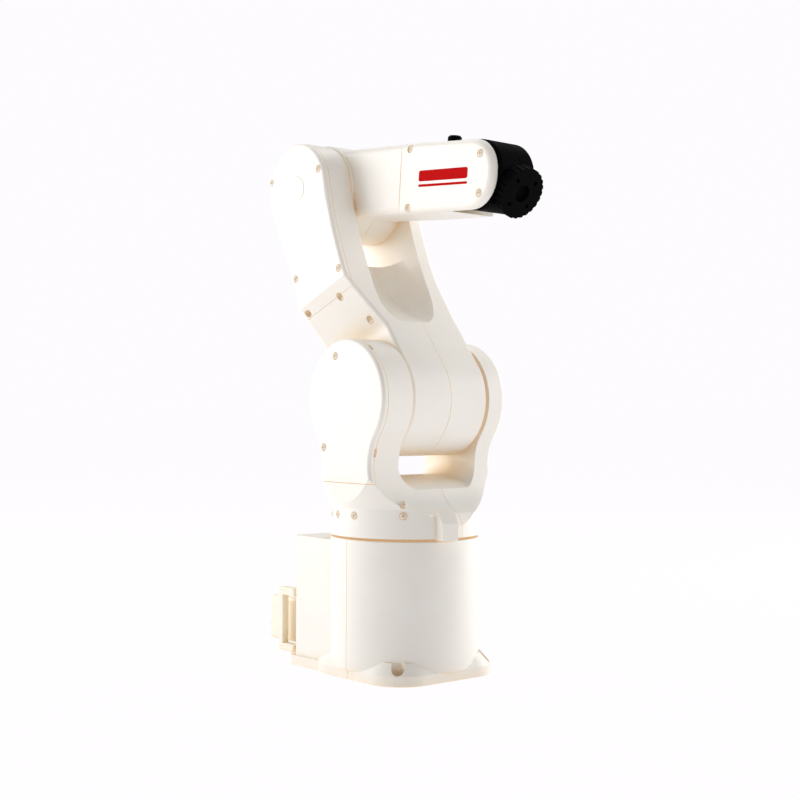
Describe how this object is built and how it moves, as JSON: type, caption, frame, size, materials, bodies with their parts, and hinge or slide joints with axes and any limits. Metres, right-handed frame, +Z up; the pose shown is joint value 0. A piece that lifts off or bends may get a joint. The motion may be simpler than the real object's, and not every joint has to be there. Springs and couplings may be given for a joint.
{
  "type": "desktop robot arm",
  "caption": "Six-axis desktop robot arm with a round turning base, yoke shoulder, forked lower arm, rolling forearm and a fluted tool flange.",
  "frame": {"origin": "on the turning axis, at the underside of the base plate", "axes": "+Z up along the turning axis, +X towards the arm's front, +Y towards the arm's left"},
  "size_m": [0.169, 0.0804, 0.2667],
  "materials": {
    "ivory_plastic": "satin moulded, warm ivory white",
    "cream_plastic": "satin moulded, cream",
    "black_plastic": "fine matt texture",
    "screw_metal": "ivory lacquer over steel",
    "steel": "turned",
    "bush_brass": "turned bearing bronze",
    "servo_case": "bead blasted",
    "board_green": "solder mask"
  },
  "bodies": {
    "base": {"base_front_shell": "ivory_plastic", "base_rear_shell": "ivory_plastic", "base_seam_screws": "screw_metal", "rear_panel": "ivory_plastic", "rear_panel_screws": "screw_metal", "connector_block": "cream_plastic", "connector_caps": "cream_plastic", "guard_handle": "cream_plastic", "control_board": "board_green", "j1_servo": "servo_case", "j1_bush": "bush_brass"},
    "shoulder": {"shoulder_right_shell": "ivory_plastic", "shoulder_left_shell": "ivory_plastic", "yoke_cover": "ivory_plastic", "shoulder_screws": "screw_metal", "yoke_cover_screws": "screw_metal", "stop_tab": "ivory_plastic", "j1_hub": "steel", "j2_right_bush": "bush_brass", "j2_left_bush": "bush_brass", "j2_servo": "servo_case"},
    "lower_arm": {"lower_arm_cover": "ivory_plastic", "lower_arm_right_shell": "ivory_plastic", "lower_arm_left_shell": "ivory_plastic", "lower_arm_screws": "screw_metal", "elbow_cap": "ivory_plastic", "j2_axle": "steel", "j2_clamp_collars": "steel", "j3_right_bush": "bush_brass", "j3_left_bush": "bush_brass", "j3_servo": "servo_case"},
    "upper_arm": {"upper_arm_right_shell": "ivory_plastic", "upper_arm_left_shell": "ivory_plastic", "upper_arm_screws": "screw_metal", "j3_axle": "steel", "j3_clamp_collars": "steel", "j4_bush": "bush_brass", "j4_servo": "servo_case"},
    "forearm": {"forearm_right_shell": "ivory_plastic", "forearm_left_shell": "ivory_plastic", "forearm_screws": "screw_metal", "cheek_screws": "screw_metal", "port_cap": "black_plastic", "j4_hub": "steel", "j5_axle": "steel"},
    "wrist": {"wrist_right_shell": "black_plastic", "wrist_left_shell": "black_plastic", "j5_bush": "bush_brass", "j5_servo": "servo_case", "j6_servo": "servo_case", "j6_bush": "bush_brass"},
    "tool": {"tool_flange": "black_plastic"}
  },
  "joints": [
    {"name": "j1_turn", "type": "hinge", "parent": "base", "child": "shoulder", "pos_m": [0, 0, 0.069], "axis": [0, 0, 1], "range_deg": [-170, 170]},
    {"name": "j2_shoulder", "type": "hinge", "parent": "shoulder", "child": "lower_arm", "pos_m": [0, 0, 0.1358], "axis": [0, 1, 0], "range_deg": [-85, 80]},
    {"name": "j3_elbow", "type": "hinge", "parent": "lower_arm", "child": "upper_arm", "pos_m": [-0.04607, 0, 0.24226], "axis": [0, 1, 0], "range_deg": [-145, 33]},
    {"name": "j4_roll", "type": "hinge", "parent": "upper_arm", "child": "forearm", "pos_m": [0.01411, 0, 0.24276], "axis": [0.9976, 0, -0.0698], "range_deg": [-180, 180]},
    {"name": "j5_wrist", "type": "hinge", "parent": "forearm", "child": "wrist", "pos_m": [0.06339, 0, 0.23932], "axis": [0, 1, 0], "range_deg": [-125, 75]},
    {"name": "j6_tool", "type": "hinge", "parent": "wrist", "child": "tool", "pos_m": [0.06339, 0, 0.23932], "axis": [0.8746, 0, -0.4848], "range_deg": [-360, 360]}
  ]
}
